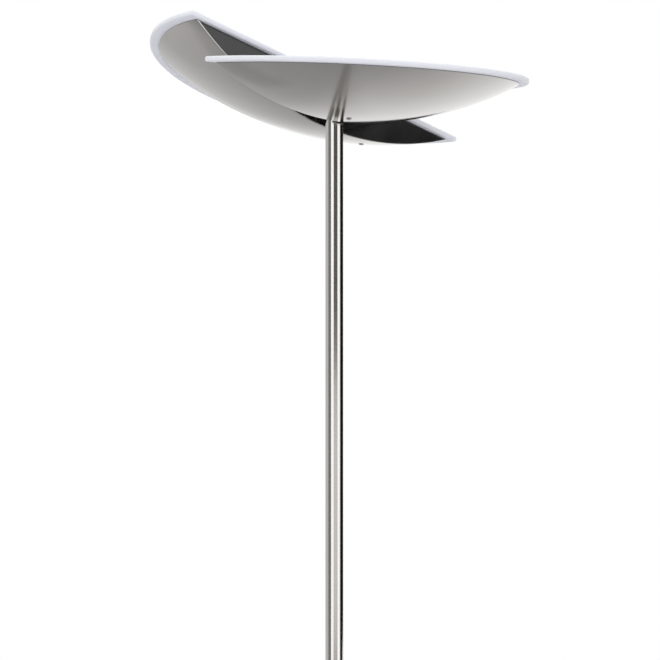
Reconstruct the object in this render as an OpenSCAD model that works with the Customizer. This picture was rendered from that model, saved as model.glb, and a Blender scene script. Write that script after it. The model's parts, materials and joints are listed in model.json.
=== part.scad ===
// Floor-standing uplighter: a round weighted base, a slim two-section pole and a head of two half bowls.
// Each half bowl carries a half-round diffuser plate and tilts by itself on its own short axle.
// Millimetres, +Z up, origin on the floor at the centre of the base, tilt axles along Y.

/* [Head] */
// Radius of the two half-round diffuser plates
plate_r = 225; // [200:1:250]
// Thickness of the diffuser plates
plate_t = 6.5; // [5:0.5:9]
// Rounding of the arched edge of a plate
plate_edge_r = 2; // [0.5:0.5:2.5]
// Distance between the straight edges of the two plates
plate_gap = 38; // [36:1:56]
// How far a plate stands out past the rim of its bowl
rim_overhang = 12; // [6:1:20]
// How far a plate's straight edge stands out past the cut side of its bowl
cut_overhang = 5.6; // [4:0.2:10]
// Depth of a bowl from its rim to the bottom
bowl_depth = 55.8; // [52:0.2:64]
// Sheet thickness of the bowls
bowl_t = 1.5; // [1:0.1:2.2]
// Thickness of the seal between rim and plate
seal_t = 0.8; // [0.5:0.1:1.6]
// Width of the seal
seal_w = 1.8; // [1:0.1:2.4]
// Thickness of the dark wall that closes the cut side
wall_t = 1.5; // [1:0.1:2.5]
// How far the dark wall lies inside the cut edge
wall_recess = 1.2; // [0.6:0.1:3]

/* [Tilt] */
// Height of the tilt axles above the floor, on the pole's axis
pivot_h = 1770; // [1600:1:1900]
// Height of the plates' underside above the tilt axles
plate_lift = 24; // [23:0.5:28]
// Angle by which each axle points down from level
axle_droop = 2.3; // [0:0.1:4]
// Tilt of the front half as it stands in the photo, positive with the +X end down
front_tilt = 1.3; // [-25:0.1:25]
// Tilt of the rear half as it stands in the photo, positive with the +X end down
rear_tilt = 17.2; // [-25:0.1:25]
// Tilt at which the stop pins end the travel, counted from level
tilt_limit = 30; // [26:1:36]

/* [Hinge] */
// Radius of the hollow threaded axles
axle_r = 5; // [4.5:0.1:5.5]
// Radius of the wire passage in the axles
axle_bore_r = 3.4; // [2.6:0.1:3.6]
// Radius of the bosses that hold the axles
boss_r = 9; // [8:0.5:10]
// Thickness of the friction washers
washer_t = 1.5; // [1:0.1:2.5]
// Thickness of the cupped spring washers
spring_washer_t = 1.4; // [1:0.1:2]
// Width across the flats of the axle nuts
axle_nut_w = 14; // [13:0.5:15]
// Thickness of the axle nuts
axle_nut_t = 6; // [4:0.5:8]
// Length of axle that stands out past its nut
axle_end = 2; // [0.5:0.5:4]
// Width of the hub bracket inside a bowl
hub_w = 70; // [66:1:80]
// Thickness of the upright plate of a hub bracket
hub_t = 6; // [4:0.5:8]
// Length of the foot of a hub bracket
hub_foot = 35; // [34:1:50]
// Height of the foot's top face below the axle
hub_foot_drop = 23; // [22:0.5:24]
// Length of the stop arm from the axle's centre
arm_len = 20.5; // [19.5:0.5:21]
// Width of the stop arm
arm_w = 6; // [4:0.5:7]
// Thickness of the stop arm
arm_t = 2.5; // [2:0.5:4]
// Radius of the stop pins on the hub bracket
pin_r = 2; // [1.5:0.1:2.5]
// Distance of the stop pins from the axle's centre
pin_ring_r = 17; // [15:0.5:18]

/* [Light] */
// Height of the lamp tray's underside above the axle
tray_lift = 11; // [10.5:0.5:13]
// Sheet thickness of the lamp tray
tray_t = 1.5; // [1:0.1:2]
// Radius of the lamp board
board_r = 150; // [135:1:160]
// Thickness of the lamp board
board_t = 1.6; // [1:0.1:2]
// Number of light emitters in the inner row
inner_leds = 7; // [5:1:9]
// Number of light emitters in the outer row
outer_leds = 13; // [9:1:17]
// Side of a light emitter
led_w = 5; // [3:0.5:6]
// Height of a light emitter
led_t = 0.9; // [0.5:0.1:1.5]
// Radius of the posts that carry a plate
post_r = 4; // [3:0.5:6]
// Radius of the bonding disc on top of a post
post_pad_r = 7; // [6:0.5:8]
// Radius of the circle on which the posts stand
post_ring_r = 174; // [170:1:176]
// Radius of the wires in the head
lead_r = 1.5; // [1:0.1:2]
// Distance of a wire's rise from the tilt axis crossing
lead_out = 62; // [56:1:70]

/* [Pole] */
// Outer diameter of the pole
pole_d = 22; // [20.5:0.5:24]
// Wall thickness of the pole
pole_t = 1.5; // [1:0.1:1.8]
// Height of the joint between the two pole sections
joint_h = 905; // [700:1:1000]
// Length of the threaded sleeve in that joint
coupler_len = 60; // [40:1:100]
// Wall thickness of the sleeve
coupler_t = 2.5; // [1.5:0.1:3.5]
// Depth to which the hinge block's spigot enters the pole
spigot_len = 24; // [16:1:40]
// Length of the threaded plug in the foot of the pole
plug_len = 30; // [25:1:45]
// Radius of the cable in the pole
cable_r = 1.8; // [1.2:0.1:1.9]
// Width of the collar round the pole's foot
collar_w = 6; // [3:0.5:12]
// Height of the collar
collar_h = 10; // [6:0.5:20]

/* [Base] */
// Radius of the base
base_r = 150; // [140:1:180]
// Height of the base
base_h = 20; // [19.5:0.5:26]
// Sheet thickness of the base cover
cover_t = 1.2; // [0.8:0.1:1.5]
// Outer rounding of the base cover's edge
cover_edge_r = 5; // [3:0.5:7]
// Thickness of the floor pad
pad_t = 2; // [1:0.5:3]
// How far the floor pad lies inside the base's edge
pad_inset = 8; // [4:1:15]
// Radius of the raised middle of the weight
weight_boss_r = 30; // [25:1:34]
// Width of the raised ring at the edge of the weight
weight_ring_w = 30; // [20:1:34]
// Depth of the wiring trough in the weight
trough_d = 4.8; // [4.5:0.1:5.5]
// Radius of the bolt that holds the pole
bolt_r = 4; // [3:0.5:4]
// Width across the flats of that bolt's head
bolt_head_w = 13; // [11:0.5:14]
// Thickness of that bolt's head
bolt_head_t = 5.3; // [4:0.1:6]
// Thickness of the bolt's washer
bolt_washer_t = 1.6; // [1:0.1:2]
// Length of the lamp driver
driver_l = 92; // [70:1:100]
// Width of the lamp driver
driver_w = 38; // [30:1:40]
// Height of the lamp driver
driver_t = 13.5; // [9:0.5:14]
// Radius of the cord inlet's bore
inlet_r = 3.6; // [3:0.1:4]
// Wall of the rubber bush in the cord inlet
bush_t = 2; // [1:0.1:2.4]
// Height of the cord inlet above the floor
inlet_h = 9; // [8.5:0.1:10]

/* [Foot button] */
// Radius of the foot button
button_r = 12.4; // [11:0.1:14]
// Distance of the button from the pole
button_out = 95; // [70:1:97]
// How far the button stands out above the base
button_rise = 6; // [5:0.5:8]
// Travel of the button
button_travel = 3; // [2:0.1:3.5]
// Wall of the button's cap
button_wall = 2; // [1.5:0.1:3]
// Thickness of the ring round the button
bezel_t = 1.6; // [1:0.1:2.5]
// Width of the ring's flange past the hole in the cover
bezel_w = 3; // [2:0.5:5]

/* [Hidden] */

$fn = 64;
// Facets of the wide bowl and plate curves
wide_fn = 240;

// Clearances
// Radial play of a turning fit
run_fit = 0.05;
// Play of a piece that is pushed or screwed into its seat
seat_fit = 0.05;
// Play between a sheet piece and the wall that it fits in
sheet_fit = 0.15;
// Play between faces that slide on each other
face_gap = 0.1;
// Room for a piece that moves freely
free_gap = 0.3;
// How far a wire's bends swell past its runs
bend_swell = 0.05;
// Overlap of a cutting shape past the face that it cuts
cut = 1;

// Bowl geometry, in the frame of one half: the tilt axis is Y, the half lies on the +Y side
rim_r = plate_r - rim_overhang;
rim_z = plate_lift - seal_t;
arc_y = plate_gap / 2;
cut_y = arc_y + cut_overhang;
ball_r = (rim_r * rim_r + bowl_depth * bowl_depth) / (2 * bowl_depth);
ball_z = rim_z - bowl_depth + ball_r;
inner_ball_r = ball_r - bowl_t - sheet_fit;
wall_y = cut_y + wall_recess;
hub_y = wall_y + wall_t;
hub_face_y = hub_y + hub_t;

// Stack on an axle, from the boss outwards
boss_len = wall_y - face_gap - washer_t;
inner_washer_y = hub_face_y + face_gap;
arm_y = inner_washer_y + washer_t;
spring_y = arm_y + arm_t;
nut_y = spring_y + spring_washer_t;
axle_y = nut_y + axle_nut_t + axle_end;
pin_angle = tilt_limit + asin((arm_w / 2 + pin_r + free_gap) / pin_ring_r);
hinge_bore_r = axle_r + run_fit;

// Screws: shank radius, head radius, head height
bowl_screw = [2, 4, 1.7];
small_screw = [1.5, 2.8, 1.5];
bowl_screw_len = bowl_t + 4;
// Spots of the screws in a bowl; those within the hub bracket's width are screwed into its foot
front_spots = [[26, 58]];
rear_spots = [[30, 33], [112, 66]];
wall_screw_x = 24;
wall_screw_z = [-9, 5];
tray_screw_x = 22;
board_screw_angles = [40, 90, 140];
board_screw_r = board_r - 8;

// Lamp tray
board_z = tray_lift + tray_t;
led_z = board_z + board_t;
board_y = hub_face_y + 4;
inner_row_r = 65;
outer_row_r = 120;
row_margin = 22;
post_angles = [25, 90, 155];
post_pad_t = 1;
terminal = [14, 9, 5];

// Pole and hinge block
pole_r = pole_d / 2;
pole_in_r = pole_r - pole_t;
insert_r = pole_in_r - seat_fit;
block_drop = 14;
block_rise = 12;
block_edge = 2;
chamber_r = 6;
chamber_rise = 5;
pole_top = pivot_h - block_drop;
block_screw_r = 2;
block_screw_drop = block_drop + spigot_len / 2;

// Base
cover_in_r = base_r - cover_t;
cover_in_h = base_h - cover_t;
weight_r = cover_in_r - free_gap;
weight_edge_r = cover_edge_r - cover_t + free_gap;
trough_z = cover_in_h - trough_d;
trough_in_r = weight_boss_r;
trough_out_r = weight_r - weight_ring_w;
pocket_z = pad_t + 2;
pocket_room = 4;
driver_y = weight_boss_r + 13;
bolt_seat = pad_t + bolt_head_t + bolt_washer_t + free_gap;
bolt_recess_r = bolt_head_w / 2 / cos(30) + 1.5;
cable_out = bolt_r + cable_r + 0.8;
cable_z = trough_z + cable_r + face_gap;
bush_r = inlet_r + bush_t;
bush_flange = 1.5;
bush_in = 8;

// Foot button
button_top = base_h + button_rise;
bezel_in_r = button_r + face_gap;
bezel_out_r = bezel_in_r + 1;
lip_r = bezel_in_r + 1.6;
lip_z = trough_z - 2;
lip_t = 1.5;
bezel_bottom = lip_z + lip_t + free_gap;
button_pocket_r = lip_r + 3.4;
switch_board = [2 * (button_r + 0.6), 2 * (button_r - 2.4), 1.6];
switch_body = [10, 10, 3.5];
board_top = pocket_z + switch_board[2];
switch_top = board_top + switch_body[2];
spring_r = button_r - 3.4;
spring_t = 1.2;
stem_r = 3;
switch_lead_r = 0.8;

// Places children in the frame of the front (-1) or rear (1) half, with the axle but without its tilt
module on_axle(side) {
    translate([0, 0, pivot_h])
        rotate([-side * axle_droop, 0, 0])
            rotate([0, 0, side < 0 ? 180 : 0])
                children();
}

// Places children in the frame of a half, tilted as it stands at rest
module on_half(side) {
    translate([0, 0, pivot_h])
        rotate([-side * axle_droop, 0, 0])
            rotate([0, side < 0 ? front_tilt : rear_tilt, 0])
                rotate([0, 0, side < 0 ? 180 : 0])
                    children();
}

// Round bar from p to q
module rod(p, q, r) {
    d = q - p;
    len = norm(d);
    translate(p)
        rotate([0, acos(d[2] / len), atan2(d[1], d[0])])
            cylinder(h = len, r = r);
}

// Round bar along a list of points, with round joints
module wire(points, r) {
    for (i = [1 : len(points) - 1])
        rod(points[i - 1], points[i], r);
    for (i = [1 : len(points) - 2])
        translate(points[i])
            sphere(r = r + bend_swell);
}

// Ring standing on its seat
module ring(outer_r, inner_r, h) {
    difference() {
        cylinder(h = h, r = outer_r);
        translate([0, 0, -cut])
            cylinder(h = h + 2 * cut, r = inner_r);
    }
}

// Cylinder along +Y from y0 to y1
module bar_y(y0, y1, r) {
    translate([0, y0, 0])
        rotate([-90, 0, 0])
            cylinder(h = y1 - y0, r = r);
}

// Pan-head screw, head below z = 0 and shank above; kind is [shank radius, head radius, head height]
module pan_screw(kind, len) {
    dome_r = kind[1] * 1.6;
    cylinder(h = len, r = kind[0]);
    intersection() {
        translate([0, 0, -kind[2]])
            cylinder(h = kind[2], r = kind[1]);
        translate([0, 0, dome_r - kind[2]])
            sphere(r = dome_r);
    }
}

// Puts children at a spot on the outside of the bowl, +Z inwards
module on_bowl(x, y) {
    lean = asin(norm([x, y - arc_y]) / ball_r);
    translate([0, arc_y, ball_z])
        rotate([0, 0, atan2(y - arc_y, x)])
            rotate([0, -lean, 0])
                translate([0, 0, -ball_r])
                    children();
}

// Ball of the bowl's curve
module ball(r) {
    translate([0, arc_y, ball_z])
        sphere(r = r, $fn = wide_fn);
}

// Block that spans the half from y0 outwards between two heights
module slab(y0, y1, z0, z1) {
    translate([-plate_r, y0, z0])
        cube([2 * plate_r, y1 - y0, z1 - z0]);
}

function bowl_screws(side) = side > 0 ? rear_spots : front_spots;

module bowl(side) {
    color("#a9a7a5")
        on_half(side)
            difference() {
                intersection() {
                    difference() {
                        ball(ball_r);
                        ball(ball_r - bowl_t);
                    }
                    slab(cut_y, arc_y + plate_r, rim_z - bowl_depth, rim_z);
                }
                for (p = bowl_screws(side))
                    on_bowl(p[0], p[1])
                        translate([0, 0, -cut])
                            cylinder(h = bowl_t + 2 * cut, r = bowl_screw[0] + seat_fit);
            }
}

module end_wall(side) {
    color("#2b2a2d")
        on_half(side)
            difference() {
                intersection() {
                    ball(inner_ball_r);
                    slab(wall_y, hub_y, rim_z - bowl_depth, rim_z);
                }
                bar_y(wall_y - cut, hub_y + cut, axle_r + free_gap);
                for (x = [-wall_screw_x, wall_screw_x], z = wall_screw_z)
                    translate([x, 0, z])
                        bar_y(wall_y - cut, hub_y + cut, small_screw[0] + seat_fit);
            }
}

module wall_screws(side) {
    color("#1c1c1e")
        on_half(side)
            for (x = [-wall_screw_x, wall_screw_x], z = wall_screw_z)
                translate([x, wall_y, z])
                    rotate([-90, 0, 0])
                        pan_screw(small_screw, wall_t + hub_t - cut);
}

module seal(side) {
    seal_out_r = rim_r - 0.5;
    strip_y = wall_y + (wall_t - seal_w) / 2 + seal_w;
    color("#3a3a3c")
        on_half(side)
            translate([0, 0, rim_z])
                intersection() {
                    union() {
                        translate([0, arc_y, 0])
                            difference() {
                                cylinder(h = seal_t, r = seal_out_r, $fn = wide_fn);
                                translate([0, 0, -cut])
                                    cylinder(h = seal_t + 2 * cut, r = seal_out_r - seal_w, $fn = wide_fn);
                            }
                        intersection() {
                            translate([0, arc_y, 0])
                                cylinder(h = seal_t, r = seal_out_r - seal_w / 2, $fn = wide_fn);
                            slab(cut_y, strip_y, 0, seal_t);
                        }
                    }
                    slab(strip_y - seal_w, arc_y + plate_r, 0, seal_t);
                }
}

module plate(side) {
    color("#dadae9")
        on_half(side)
            translate([0, arc_y, plate_lift])
                rotate_extrude(angle = 180, $fn = wide_fn) {
                    square([plate_r - plate_edge_r, plate_t]);
                    translate([0, plate_edge_r])
                        square([plate_r, plate_t - 2 * plate_edge_r]);
                    for (z = [plate_edge_r, plate_t - plate_edge_r])
                        translate([plate_r - plate_edge_r, z])
                            circle(r = plate_edge_r, $fn = 32);
                }
}

module hub(side) {
    color("#b9bbbd")
        on_half(side) {
            difference() {
                intersection() {
                    ball(inner_ball_r);
                    union() {
                        translate([-hub_w / 2, hub_y, rim_z - bowl_depth])
                            cube([hub_w, hub_t, bowl_depth - rim_z + tray_lift]);
                        translate([-hub_w / 2, hub_y, rim_z - bowl_depth])
                            cube([hub_w, hub_foot, bowl_depth - rim_z - hub_foot_drop]);
                    }
                }
                bar_y(hub_y - cut, hub_face_y + cut, hinge_bore_r);
                for (x = [-wall_screw_x, wall_screw_x], z = wall_screw_z)
                    translate([x, 0, z])
                        bar_y(hub_y - cut, hub_face_y - cut / 2, small_screw[0] + seat_fit);
                for (p = bowl_screws(side))
                    if (p[0] < hub_w / 2)
                        on_bowl(p[0], p[1])
                            cylinder(h = bowl_screw_len + free_gap, r = bowl_screw[0] + seat_fit);
                for (x = [-tray_screw_x, tray_screw_x])
                    translate([x, hub_y + hub_t / 2, tray_lift - 5])
                        cylinder(h = 5 + cut, r = small_screw[0] + seat_fit);
            }
            for (a = [-pin_angle, pin_angle])
                rotate([0, a, 0])
                    translate([0, 0, -pin_ring_r])
                        bar_y(hub_face_y - cut, spring_y + face_gap, pin_r);
        }
}

module bowl_screw_set(side) {
    color("#9c9a98")
        on_half(side)
            for (p = bowl_screws(side))
                on_bowl(p[0], p[1])
                    pan_screw(bowl_screw, bowl_screw_len);
}

module tray(side) {
    color("#d9dadb")
        on_half(side)
            difference() {
                intersection() {
                    ball(inner_ball_r);
                    slab(hub_y, arc_y + plate_r, tray_lift, board_z);
                }
                translate([0, lead_out, tray_lift - cut])
                    cylinder(h = tray_t + 2 * cut, r = lead_r + free_gap);
                for (x = [-tray_screw_x, tray_screw_x])
                    translate([x, hub_y + hub_t / 2, tray_lift - cut])
                        cylinder(h = tray_t + 2 * cut, r = small_screw[0] + seat_fit);
                for (a = board_screw_angles)
                    translate([board_screw_r * cos(a), arc_y + board_screw_r * sin(a), tray_lift - cut])
                        cylinder(h = tray_t + 2 * cut, r = small_screw[0] + seat_fit);
            }
}

// Screws that hold the tray on the hub bracket and the board on the tray
module tray_screw_set(side) {
    color("#c9c9c9")
        on_half(side) {
            for (x = [-tray_screw_x, tray_screw_x])
                translate([x, hub_y + hub_t / 2, board_z])
                    rotate([180, 0, 0])
                        pan_screw(small_screw, tray_t + 4);
            for (a = board_screw_angles)
                translate([board_screw_r * cos(a), arc_y + board_screw_r * sin(a), led_z])
                    rotate([180, 0, 0])
                        pan_screw(small_screw, tray_t + board_t + 1);
        }
}

module board(side) {
    color("#f1f1ee")
        on_half(side)
            translate([0, 0, board_z])
                difference() {
                    intersection() {
                        translate([0, arc_y, 0])
                            cylinder(h = board_t, r = board_r, $fn = wide_fn);
                        slab(board_y, arc_y + plate_r, 0, board_t);
                    }
                    translate([0, lead_out, -cut])
                        cylinder(h = board_t + 2 * cut, r = lead_r + free_gap);
                    for (a = board_screw_angles)
                        translate([board_screw_r * cos(a), arc_y + board_screw_r * sin(a), -cut])
                            cylinder(h = board_t + 2 * cut, r = small_screw[0] + seat_fit);
                }
}

// Arc of light emitters
module led_row(r, count, first) {
    for (i = [0 : count - 1]) {
        a = first + i * (180 - 2 * first) / (count - 1);
        translate([r * cos(a), arc_y + r * sin(a), led_z])
            rotate([0, 0, a])
                translate([-led_w / 2, -led_w / 2, 0])
                    cube([led_w, led_w, led_t]);
    }
}

module leds(side) {
    color("#f4e3a1")
        on_half(side) {
            led_row(inner_row_r, inner_leds, asin((board_y + row_margin - arc_y) / inner_row_r));
            led_row(outer_row_r, outer_leds, asin((board_y + led_w - arc_y) / outer_row_r));
        }
}

module posts(side) {
    color("#ececec")
        on_half(side)
            for (a = post_angles)
                translate([post_ring_r * cos(a), arc_y + post_ring_r * sin(a), board_z]) {
                    cylinder(h = plate_lift - board_z, r = post_r);
                    translate([0, 0, plate_lift - board_z - post_pad_t])
                        cylinder(h = post_pad_t, r = post_pad_r);
                }
}

module terminal_block(side) {
    color("#f7f7f7")
        on_half(side)
            translate([-terminal[0] / 2, lead_out - terminal[1] / 2, led_z])
                cube(terminal);
}

// Wire from the end of the axle to the terminal on the lamp board
module lead(side) {
    color("#e8e8e8")
        on_half(side)
            wire([[0, axle_y, 0], [0, lead_out, 0], [0, lead_out, led_z]], lead_r);
}

module axle(side) {
    color("#b5b09a")
        on_axle(side)
            difference() {
                bar_y(chamber_r + free_gap, axle_y, axle_r);
                bar_y(chamber_r - cut, axle_y + cut, axle_bore_r);
            }
}

// Friction washers on both sides of the wall and hub
module washers(side) {
    color("#efeee6")
        on_axle(side)
            for (y = [boss_len, inner_washer_y])
                difference() {
                    bar_y(y, y + washer_t, boss_r);
                    bar_y(y - cut, y + washer_t + cut, axle_r + seat_fit);
                }
}

// Arm that meets the hub's stop pins at the end of the travel
module stop_arm(side) {
    color("#8f9194")
        on_axle(side)
            difference() {
                union() {
                    bar_y(arm_y, spring_y, boss_r);
                    translate([-arm_w / 2, arm_y, -arm_len])
                        cube([arm_w, arm_t, arm_len]);
                }
                bar_y(arm_y - cut, spring_y + cut, axle_r + seat_fit);
            }
}

module spring_washers() {
    color("#7d7f83")
        for (side = [-1, 1])
            on_axle(side)
                difference() {
                    bar_y(spring_y, nut_y, boss_r - 1);
                    bar_y(spring_y - cut, nut_y + cut, axle_r + seat_fit);
                }
}

module axle_nuts() {
    color("#b5b09a")
        for (side = [-1, 1])
            on_axle(side)
                difference() {
                    translate([0, nut_y, 0])
                        rotate([-90, 0, 0])
                            cylinder(h = axle_nut_t, r = axle_nut_w / 2 / cos(30), $fn = 6);
                    bar_y(nut_y - cut, nut_y + axle_nut_t + cut, axle_r + seat_fit);
                }
}

// Tee that closes the pole's top and holds both axles
module hinge_block() {
    color("#a5a6a8")
        difference() {
            union() {
                translate([0, 0, pole_top])
                    cylinder(h = block_drop + block_rise - block_edge, r = pole_r);
                translate([0, 0, pivot_h + block_rise - block_edge])
                    cylinder(h = block_edge, r1 = pole_r, r2 = pole_r - block_edge);
                translate([0, 0, pole_top - spigot_len])
                    cylinder(h = spigot_len + cut, r = insert_r);
                for (side = [-1, 1])
                    on_axle(side)
                        bar_y(0, boss_len, boss_r);
            }
            translate([0, 0, pole_top - spigot_len - cut])
                cylinder(h = spigot_len + block_drop + chamber_rise + cut, r = chamber_r);
            for (side = [-1, 1])
                on_axle(side)
                    bar_y(0, boss_len + cut, axle_r + seat_fit);
            translate([0, 0, pivot_h - block_screw_drop])
                bar_y(0, pole_r, block_screw_r + seat_fit);
        }
}

// Grub screw through the pole into the hinge block's spigot
module block_screw() {
    color("#55575a")
        translate([0, 0, pivot_h - block_screw_drop])
            bar_y(chamber_r + free_gap, pole_r, block_screw_r);
}

module upper_pole() {
    color("#c4c4c2")
        difference() {
            translate([0, 0, joint_h])
                ring(pole_r, pole_in_r, pole_top - joint_h);
            translate([0, 0, pivot_h - block_screw_drop])
                bar_y(0, pole_r + cut, block_screw_r + seat_fit);
        }
}

module lower_pole() {
    color("#c4c4c2")
        translate([0, 0, base_h])
            ring(pole_r, pole_in_r, joint_h - base_h);
}

module pole_coupler() {
    color("#8f9194")
        translate([0, 0, joint_h - coupler_len / 2])
            ring(insert_r, insert_r - coupler_t, coupler_len);
}

module pole_collar() {
    color("#b4b4b3")
        translate([0, 0, base_h])
            difference() {
                union() {
                    cylinder(h = collar_h * 0.7, r = pole_r + collar_w);
                    translate([0, 0, collar_h * 0.7])
                        cylinder(h = collar_h * 0.3, r1 = pole_r + collar_w, r2 = pole_r + collar_w / 2);
                }
                translate([0, 0, -cut])
                    cylinder(h = collar_h + 2 * cut, r = pole_r + seat_fit);
            }
}

module pole_plug() {
    color("#8f9194")
        translate([0, 0, base_h])
            difference() {
                cylinder(h = plug_len, r = insert_r);
                translate([0, 0, -cut])
                    cylinder(h = plug_len + 2 * cut, r = bolt_r + seat_fit);
                translate([0, cable_out, -cut])
                    cylinder(h = plug_len + 2 * cut, r = cable_r + free_gap / 2);
            }
}

// Bolt from below the weight into the pole's plug
module base_bolt() {
    color("#9a9b9d")
        translate([0, 0, bolt_seat - bolt_washer_t]) {
            translate([0, 0, -bolt_head_t])
                cylinder(h = bolt_head_t, r = bolt_head_w / 2 / cos(30), $fn = 6);
            cylinder(h = base_h + plug_len - 4 - bolt_seat + bolt_washer_t, r = bolt_r);
        }
}

module bolt_washer() {
    color("#9a9b9d")
        translate([0, 0, bolt_seat - bolt_washer_t])
            ring(bolt_recess_r - 0.5, bolt_r + seat_fit, bolt_washer_t);
}

// Cable from the driver up the pole, forking into the two axles
module pole_cable() {
    rise = base_h + plug_len + 3;
    color("#ececec") {
        wire([
            [0, driver_y, cable_z], [0, cable_out, cable_z], [0, cable_out, rise],
            [0, 0, rise + 25], [0, 0, pivot_h]
        ], cable_r);
        for (side = [-1, 1])
            on_axle(side)
                bar_y(0, axle_y, lead_r);
    }
}

// Round shape with its upper edge rounded, turned about Z
module puck(r, z0, z1, edge_r) {
    rotate_extrude($fn = 180) {
        translate([0, z0])
            square([r - edge_r, z1 - z0]);
        translate([0, z0])
            square([r, z1 - z0 - edge_r]);
        translate([r - edge_r, z1 - edge_r])
            circle(r = edge_r, $fn = 48);
    }
}

module floor_pad() {
    color("#2f2f31")
        cylinder(h = pad_t, r = base_r - pad_inset, $fn = 180);
}

module base_weight() {
    color("#4a4b4d")
        difference() {
            puck(weight_r, pad_t, cover_in_h, weight_edge_r);
            translate([0, 0, trough_z])
                ring(trough_out_r, trough_in_r, trough_d + cut);
            translate([0, 0, pad_t - cut])
                cylinder(h = bolt_seat - pad_t + cut, r = bolt_recess_r);
            translate([0, 0, pad_t])
                cylinder(h = base_h, r = bolt_r + free_gap);
            // Groove for the cable through the raised middle
            translate([-cable_r - free_gap, cable_out - cable_r - free_gap / 2, cable_z - cable_r - free_gap])
                cube([2 * (cable_r + free_gap), weight_boss_r, base_h]);
            // Pocket for the driver
            translate([-driver_l / 2 - pocket_room, driver_y - pocket_room, pocket_z])
                cube([driver_l + 2 * pocket_room, driver_w + 2 * pocket_room, base_h]);
            // Passage for the cord from the inlet to the driver
            translate([0, 0, inlet_h])
                bar_y(driver_y + driver_w, weight_r + cut, bush_r + free_gap);
            // Pocket for the button
            translate([0, -button_out, pocket_z])
                cylinder(h = base_h, r = button_pocket_r);
        }
}

module base_cover() {
    color("#b0b0af")
        difference() {
            puck(base_r, pad_t, base_h, cover_edge_r);
            puck(cover_in_r, pad_t - cut, cover_in_h, cover_edge_r - cover_t);
            cylinder(h = base_h + cut, r = bolt_r + free_gap);
            translate([0, cable_out, 0])
                cylinder(h = base_h + cut, r = cable_r + free_gap / 2);
            translate([0, -button_out, 0])
                cylinder(h = base_h + cut, r = bezel_out_r + seat_fit);
            translate([0, 0, inlet_h])
                bar_y(cover_in_r - 2 * cut, base_r + cut, bush_r + seat_fit);
        }
}

// Rubber bush of the cord inlet
module cord_bush() {
    color("#1f1f21")
        translate([0, 0, inlet_h])
            difference() {
                union() {
                    bar_y(cover_in_r - bush_in, base_r, bush_r);
                    bar_y(base_r, base_r + bush_flange, bush_r + bush_flange);
                }
                bar_y(cover_in_r - bush_in - cut, base_r + bush_flange + cut, inlet_r);
            }
}

module led_driver() {
    color("#e9e9ea")
        translate([-driver_l / 2, driver_y, pocket_z])
            cube([driver_l, driver_w, driver_t]);
}

module button_switch() {
    color("#2e5d43")
        translate([-switch_board[0] / 2, -button_out - switch_board[1] / 2, pocket_z])
            cube(switch_board);
    color("#222222")
        translate([-switch_body[0] / 2, -button_out - switch_body[1] / 2, board_top])
            cube(switch_body);
}

module button_bezel() {
    color("#b0b0af")
        translate([0, -button_out, 0]) {
            translate([0, 0, bezel_bottom])
                ring(bezel_out_r, bezel_in_r, base_h + bezel_t - bezel_bottom);
            translate([0, 0, base_h])
                ring(bezel_out_r + bezel_w, bezel_in_r, bezel_t);
        }
}

module foot_button() {
    edge = 1.5;
    color("#c2c2c1")
        translate([0, -button_out, 0])
            difference() {
                union() {
                    translate([0, 0, lip_z])
                        cylinder(h = lip_t, r = lip_r);
                    translate([0, 0, lip_z])
                        cylinder(h = button_top - edge - lip_z, r = button_r);
                    translate([0, 0, button_top - edge])
                        cylinder(h = edge, r1 = button_r, r2 = button_r - edge);
                }
                translate([0, 0, lip_z - cut])
                    ring(button_r - button_wall, stem_r, button_top - button_wall - lip_z + cut);
                translate([0, 0, lip_z - cut])
                    cylinder(h = switch_top + button_travel + free_gap - lip_z + cut, r = stem_r + cut);
            }
}

module button_spring() {
    color("#8a8c8f")
        translate([0, -button_out, board_top])
            ring(spring_r, spring_r - spring_t, button_top - button_wall - board_top);
}

// Lead from the button's switch round the raised middle to the driver
module switch_lead() {
    run_z = trough_z + switch_lead_r + free_gap;
    side_x = weight_boss_r + 6;
    start_x = switch_board[0] / 2 - switch_lead_r;
    start_y = switch_board[1] / 2 - switch_lead_r - button_out;
    color("#dddddd")
        wire([
            [start_x, start_y, board_top], [start_x, start_y, run_z],
            [side_x, -weight_boss_r - 10, run_z], [side_x, driver_y, run_z]
        ], switch_lead_r);
}

floor_pad();
base_weight();
base_cover();
cord_bush();
led_driver();
button_switch();
button_bezel();
foot_button();
button_spring();
switch_lead();
base_bolt();
bolt_washer();
pole_plug();
pole_collar();
lower_pole();
pole_coupler();
upper_pole();
hinge_block();
block_screw();
pole_cable();
axle(-1);  // front_axle
axle(1);  // rear_axle
washers(-1);  // front_washers
washers(1);  // rear_washers
stop_arm(-1);  // front_stop_arm
stop_arm(1);  // rear_stop_arm
spring_washers();
axle_nuts();
bowl(-1);  // front_bowl
end_wall(-1);  // front_wall
seal(-1);  // front_seal
plate(-1);  // front_plate
hub(-1);  // front_hub
tray(-1);  // front_tray
board(-1);  // front_board
leds(-1);  // front_leds
posts(-1);  // front_posts
lead(-1);  // front_lead
terminal_block(-1);  // front_terminal
bowl_screw_set(-1);  // front_bowl_screws
wall_screws(-1);  // front_wall_screws
tray_screw_set(-1);  // front_tray_screws
bowl(1);  // rear_bowl
end_wall(1);  // rear_wall
seal(1);  // rear_seal
plate(1);  // rear_plate
hub(1);  // rear_hub
tray(1);  // rear_tray
board(1);  // rear_board
leds(1);  // rear_leds
posts(1);  // rear_posts
lead(1);  // rear_lead
terminal_block(1);  // rear_terminal
bowl_screw_set(1);  // rear_bowl_screws
wall_screws(1);  // rear_wall_screws
tray_screw_set(1);  // rear_tray_screws
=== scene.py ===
import json
import math
from contextlib import contextmanager

import bmesh
import bpy
from mathutils import Matrix, Vector


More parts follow.
